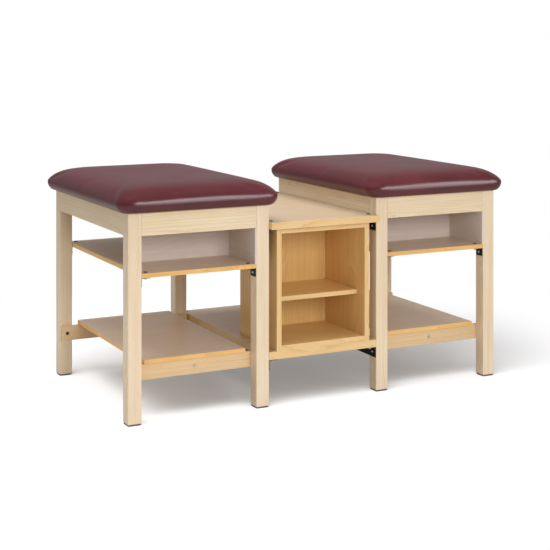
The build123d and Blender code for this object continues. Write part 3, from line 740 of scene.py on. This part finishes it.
def make_pad(side, vinyl):
    """One seat pad: cover and foam as one closed form, around the seat board."""
    low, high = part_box(f"{side}_seat_cover")
    board_low, board_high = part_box(f"{side}_seat_board")
    size = high - low
    grid, held = pad_skin(size)
    mesh = bpy.data.meshes.new(f"{side}_seat_pad")
    grid.to_mesh(mesh)
    grid.free()
    pad = bpy.data.objects.new(f"{side}_seat_pad", mesh)
    bpy.context.scene.collection.objects.link(pad)
    swell(pad, held)
    refine(pad)
    close_underside(pad, size, board_low.z - low.z, board_high.z - low.z)
    middle = (low + high) / 2
    pad.data.transform(Matrix.Translation((middle.x, middle.y, low.z)))
    pad.data.polygons.foreach_set("use_smooth", [True] * len(pad.data.polygons))
    pad.data.materials.append(vinyl)
    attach(pad, "station")
    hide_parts(f"{side}_seat_cover", f"{side}_seat_foam")
    return pad


# ================================================================ the studio

def make_floor():
    """A pale floor that takes the object's soft shadow, lifted by a painted glow that only the camera sees,
    and fades to plain white further off.
    """
    mesh = bpy.data.meshes.new("studio_floor")
    corners = [(x * FLOOR_REACH, y * FLOOR_REACH, 0.0) for x, y in ((-1, -1), (1, -1), (1, 1), (-1, 1))]
    mesh.from_pydata(corners, [], [(0, 1, 2, 3)])
    floor = bpy.data.objects.new("studio_floor", mesh)
    bpy.context.scene.collection.objects.link(floor)
    graph = Graph("studio_floor")
    dust = graph.noise(graph.coords(), (3.0, 3.0, 3.0), detail=3.0)
    light_path = graph.node("ShaderNodeLightPath")
    colour = graph.mix(light_path.outputs["Is Camera Ray"], FLOOR_BOUNCE, FLOOR_COLOUR)
    graph.set(base_color=colour, roughness=graph.remap(dust, 0.3, 0.7, 0.75, 0.85), specular_ior_level=0.1)
    squashed = graph.vector("MULTIPLY", graph.coords(), FLOOR_OVAL)
    distance = graph.node("ShaderNodeVectorMath", {0: squashed}, operation="LENGTH").outputs["Value"]
    near, far = FLOOR_FADE
    # painted light: a glow, seen only by the camera, lifts the shadow towards white near the object
    fade = graph.remap(distance, near, far, FLOOR_LIFT, 1.0)
    fade = graph.math("MULTIPLY", fade, light_path.outputs["Is Camera Ray"])
    glow = graph.node("ShaderNodeEmission", {"Color": (1.0, 1.0, 1.0), "Strength": 1.0}).outputs[0]
    surface = graph.node("ShaderNodeMixShader", {0: fade, 1: graph.shader.outputs[0], 2: glow}).outputs[0]
    output = next(node for node in graph.tree.nodes if node.type == "OUTPUT_MATERIAL")
    graph.tree.links.new(surface, output.inputs["Surface"])
    mesh.materials.append(graph.material)
    return floor


def aim(thing, target):
    """Turn a light to face a point."""
    thing.rotation_euler = (Vector(target) - thing.location).to_track_quat("-Z", "Y").to_euler()


def make_light(name, lit=(), spared=(), reflected=True, diffuse=True):
    """One of the soft rectangular lights.

    It may light only some objects or spare some, and be left out of reflections or of plain light.
    """
    plan = LIGHTS[name]
    data = bpy.data.lights.new(name, "AREA")
    data.shape = "RECTANGLE"
    data.size, data.size_y = plan["size"]
    data.energy = plan["power"]
    light = bpy.data.objects.new(name, data)
    light.location = plan["place"]
    light.visible_glossy = reflected
    light.visible_diffuse = diffuse
    bpy.context.scene.collection.objects.link(light)
    aim(light, plan["target"])
    receivers = bpy.data.collections.new(f"{name}_receivers")
    light.light_linking.receiver_collection = receivers
    for things, state in ((lit, "INCLUDE"), (spared, "EXCLUDE")):
        for thing in things:
            receivers.objects.link(thing)
            receivers.collection_objects[-1].light_linking.link_state = state


def make_sky():
    """An even pale surround: plain white to the camera, and dimmer in reflections than in plain light."""
    world = bpy.data.worlds.new("studio_surround")
    world.use_nodes = True
    tree = world.node_tree
    tree.nodes.clear()
    light_path = tree.nodes.new("ShaderNodeLightPath")
    background = tree.nodes.new("ShaderNodeBackground")
    background.inputs["Color"].default_value = (1.0, 1.0, 1.0, 1.0)
    output = tree.nodes.new("ShaderNodeOutputWorld")
    tree.links.new(background.outputs["Background"], output.inputs["Surface"])
    level = None
    for ray, strength in (("Is Glossy Ray", SKY_REFLECTED), ("Is Camera Ray", 1.0)):
        step = tree.nodes.new("ShaderNodeMapRange")
        step.inputs["To Min"].default_value = SKY
        step.inputs["To Max"].default_value = strength
        tree.links.new(light_path.outputs[ray], step.inputs["Value"])
        if level:
            tree.links.new(level, step.inputs["To Min"])
        level = step.outputs["Result"]
    tree.links.new(level, background.inputs["Strength"])
    bpy.context.scene.world = world


def make_studio(pads):
    """The floor, the surround and the lights."""
    floor = make_floor()
    make_sky()
    make_light("key", spared=[floor], reflected=False)
    make_light("overhead", spared=[floor], reflected=False)
    make_light("highlight", lit=pads, diffuse=False)
    make_light("floor_light", lit=[floor])


def shift_at_place(data, camera, shift):
    """Shift the frame down only at the photograph's place, so that other views stay centred."""
    curve = data.driver_add("shift_y")
    curve.driver.type = "AVERAGE"
    place = curve.driver.variables.new()
    place.type = "TRANSFORMS"
    place.targets[0].id = camera
    place.targets[0].transform_type = "LOC_X"
    place.targets[0].transform_space = "WORLD_SPACE"
    for modifier in list(curve.modifiers):
        curve.modifiers.remove(modifier)
    for offset, value in ((-2, 0.0), (-1, shift), (1, shift), (2, 0.0)):
        point = curve.keyframe_points.insert(camera.location.x + offset * SHIFT_REACH, value)
        point.interpolation = "LINEAR"


def make_camera():
    """A level camera at the photograph's place, with its frame shifted down."""
    data = bpy.data.cameras.new("camera")
    data.sensor_width = CAMERA_SENSOR
    data.lens = CAMERA_LENS
    camera = bpy.data.objects.new("camera", data)
    camera.location = CAMERA_PLACE
    camera.rotation_euler = (math.pi / 2, 0.0, CAMERA_TURN)
    bpy.context.scene.collection.objects.link(camera)
    bpy.context.scene.camera = camera
    data.shift_x, down = CAMERA_SHIFT
    shift_at_place(data, camera, down)


dress_tables()
dress_centre()
dress_hardware()
burgundy = upholstery_vinyl()
make_studio([make_pad(side, burgundy) for side in SIDES])
make_camera()
bpy.context.scene.view_settings.view_transform = "Standard"
